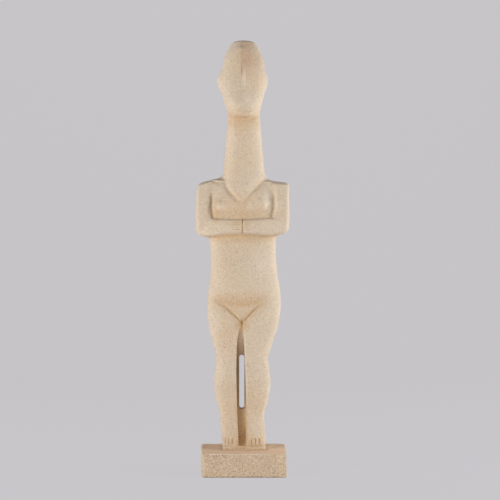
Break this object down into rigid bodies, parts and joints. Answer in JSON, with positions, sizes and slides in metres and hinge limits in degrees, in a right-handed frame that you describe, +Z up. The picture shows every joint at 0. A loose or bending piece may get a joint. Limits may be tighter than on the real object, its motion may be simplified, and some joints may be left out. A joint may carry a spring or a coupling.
{
  "type": "cycladic figurine",
  "caption": "Standing stone figurine with folded arms, a long neck and a tilted oval head, on a small block base.",
  "frame": {"origin": "middle of the block base's underside", "axes": "+Z up towards the head, -Y the way the figure faces, +X to the right as the viewer sees it from the front"},
  "size_m": [0.0849, 0.054, 0.3889],
  "materials": {
    "figure_stone": "matte",
    "base_stone": "matte"
  },
  "bodies": {
    "root": {"figurine": "figure_stone", "base_block": "base_stone"}
  },
  "joints": []
}
